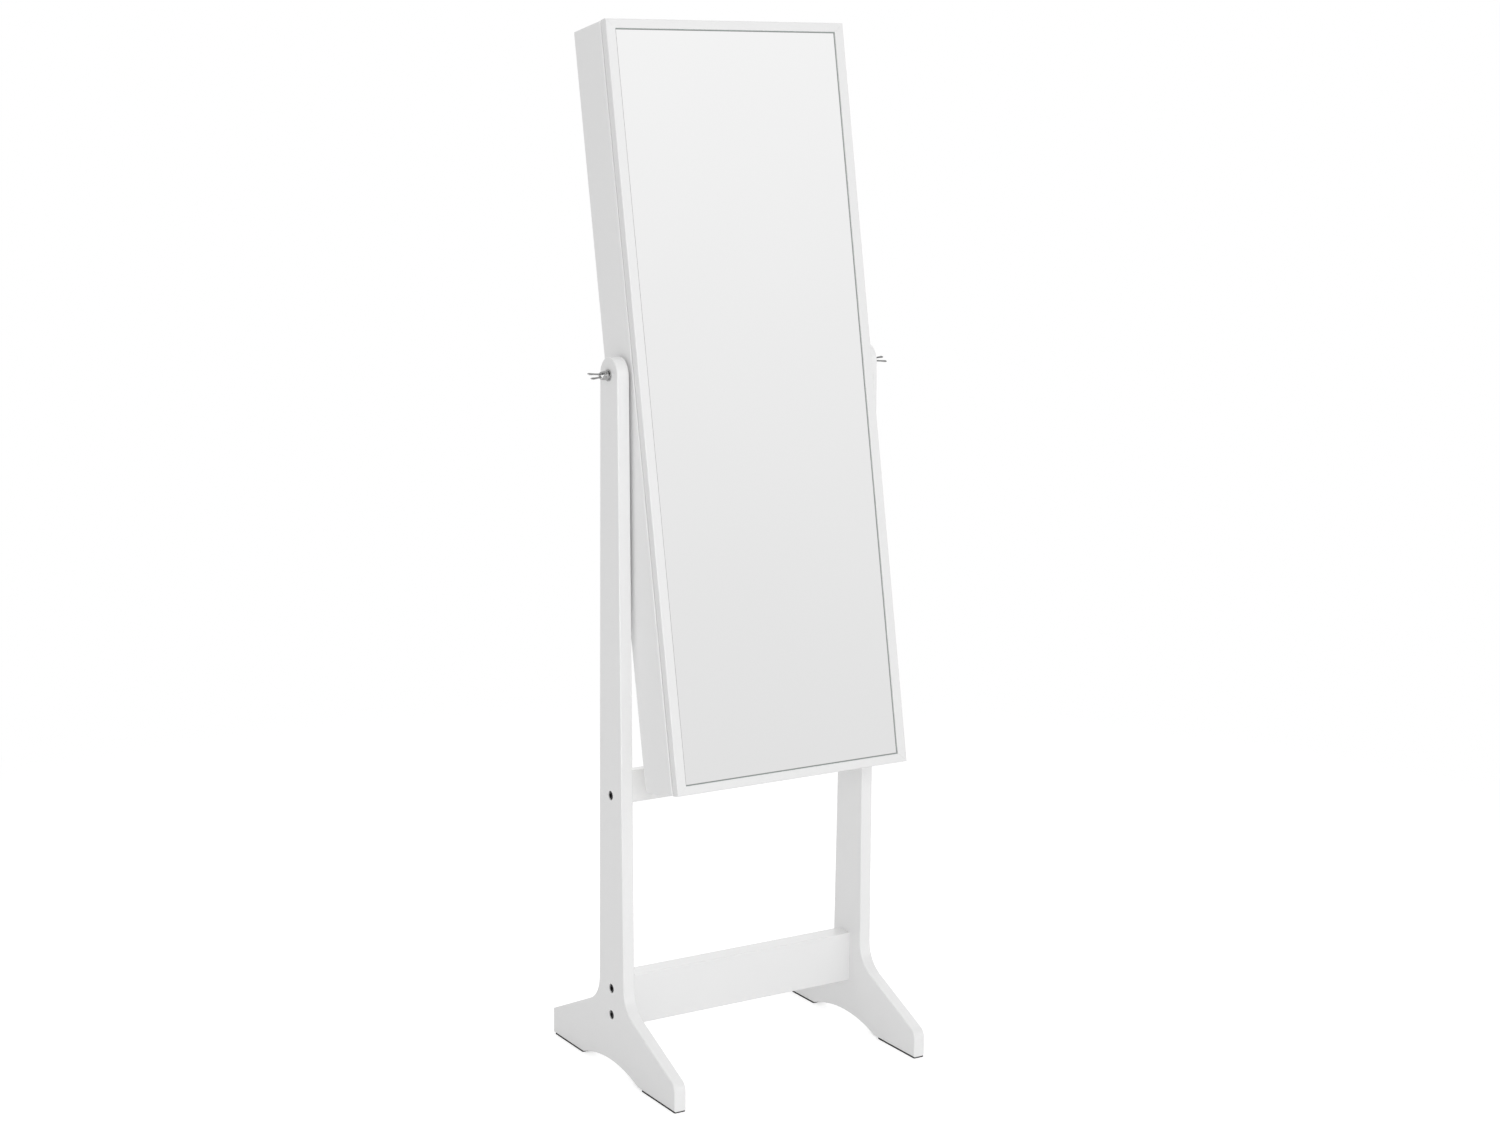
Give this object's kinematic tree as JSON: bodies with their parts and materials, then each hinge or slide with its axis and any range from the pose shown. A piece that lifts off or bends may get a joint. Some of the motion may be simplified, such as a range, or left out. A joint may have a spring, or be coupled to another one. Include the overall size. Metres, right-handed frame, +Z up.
{
  "type": "cheval floor mirror",
  "caption": "Free-standing tilting mirror on arched feet; the framed mirror is the door of a shallow jewellery cabinet hung between two posts by wing screws.",
  "frame": {"origin": "on the floor, midway between the side frames and under the line of the pivot", "axes": "+Z up, the mirror faces -Y, +X to the right of a viewer who faces the mirror"},
  "size_m": [0.48, 0.358, 1.4596],
  "materials": {
    "white_board": "white satin foil-wrapped board",
    "white_frame": "white satin wrapped moulding",
    "mirror_silver": "silvered mirror glass",
    "bright_nickel": "bright nickel plate",
    "zinc_steel": "zinc-plated steel",
    "black_steel": "black oxide",
    "brass_insert": "turned brass",
    "beech": "bare beech dowel",
    "black_pad": "black felt-faced rubber",
    "grey_nylon": "natural nylon",
    "back_board": "white faced thin fibreboard",
    "velvet": "black velvet",
    "cushion_velvet": "black velvet over foam",
    "clear_plate": "white acrylic",
    "foam_tape": "white foam tape",
    "magnet_black": "white moulded plastic",
    "magnet_plate": "nickel-plated magnet"
  },
  "bodies": {
    "stand": {"left_side_frame": "white_board", "right_side_frame": "white_board", "lower_rail": "white_board", "lower_rail_backer": "white_board", "middle_rail": "white_board", "rail_bolts": "black_steel", "barrel_nuts": "zinc_steel", "rail_dowels": "beech", "left_foot_pads": "black_pad", "right_foot_pads": "black_pad"},
    "cabinet": {"pivot_spacers": "grey_nylon", "pivot_inserts": "brass_insert", "corner_dowels": "beech", "shelf_dowels": "beech", "cabinet_hinge_screws": "zinc_steel", "cabinet_hinge_leaves": "bright_nickel", "hinge_pins": "zinc_steel", "cabinet_back": "back_board", "cabinet_left_side": "white_board", "cabinet_right_side": "white_board", "cabinet_top": "white_board", "cabinet_bottom": "white_board", "cabinet_lining": "velvet", "upper_shelf": "white_board", "upper_shelf_lip": "white_board", "ring_shelf": "white_board", "lower_shelf": "white_board", "lower_shelf_lip": "white_board", "ring_cushion": "cushion_velvet", "earring_plate": "clear_plate", "earring_plate_standoffs": "zinc_steel", "necklace_rail": "white_board", "necklace_hooks": "bright_nickel", "bracelet_rod": "bright_nickel", "bracelet_rod_cups": "grey_nylon", "catch_magnets": "magnet_plate", "magnet_catches": "magnet_black"},
    "door": {"door_left_stile": "white_frame", "door_right_stile": "white_frame", "door_top_rail": "white_frame", "door_bottom_rail": "white_frame", "mirror_glass": "mirror_silver", "door_backing": "back_board", "door_lining": "velvet", "mirror_tape": "foam_tape", "door_bumpers": "grey_nylon", "strike_plates": "zinc_steel", "door_hook_rail": "white_board", "door_hooks": "bright_nickel", "door_hinge_leaves": "bright_nickel", "door_hinge_screws": "zinc_steel"},
    "left_washer": {"left_washer": "bright_nickel"},
    "left_wing_screw": {"left_wing_screw": "bright_nickel"},
    "right_washer": {"right_washer": "bright_nickel"},
    "right_wing_screw": {"right_wing_screw": "bright_nickel"}
  },
  "joints": [
    {"name": "cabinet_tilt", "type": "hinge", "parent": "stand", "child": "cabinet", "pos_m": [0, 0, 0.995], "axis": [-1, 0, 0], "range_deg": [-4.8, 20]},
    {"name": "door_swing", "type": "hinge", "parent": "cabinet", "child": "door", "pos_m": [0.19, -0.02795, 1.00033], "axis": [0, 0.1874, 0.9823], "range_deg": [0, 105]},
    {"name": "left_screw_travel", "type": "slide", "parent": "cabinet", "child": "left_washer", "axis": [-1, 0, 0], "range_m": [0, 0.002]},
    {"name": "left_screw_turn", "type": "hinge", "parent": "left_washer", "child": "left_wing_screw", "pos_m": [-0.2, 0, 0.995], "axis": [-1, 0, 0], "range_deg": [0, 720.5]},
    {"name": "right_screw_travel", "type": "slide", "parent": "cabinet", "child": "right_washer", "axis": [1, 0, 0], "range_m": [0, 0.002]},
    {"name": "right_screw_turn", "type": "hinge", "parent": "right_washer", "child": "right_wing_screw", "pos_m": [0.2, 0, 0.995], "axis": [1, 0, 0], "range_deg": [0, 720.5]}
  ],
  "couplings": [
    {"joint": "left_screw_turn", "follows": "left_screw_travel", "rad_per_m": 6283.2},
    {"joint": "right_screw_turn", "follows": "right_screw_travel", "rad_per_m": 6283.2}
  ]
}
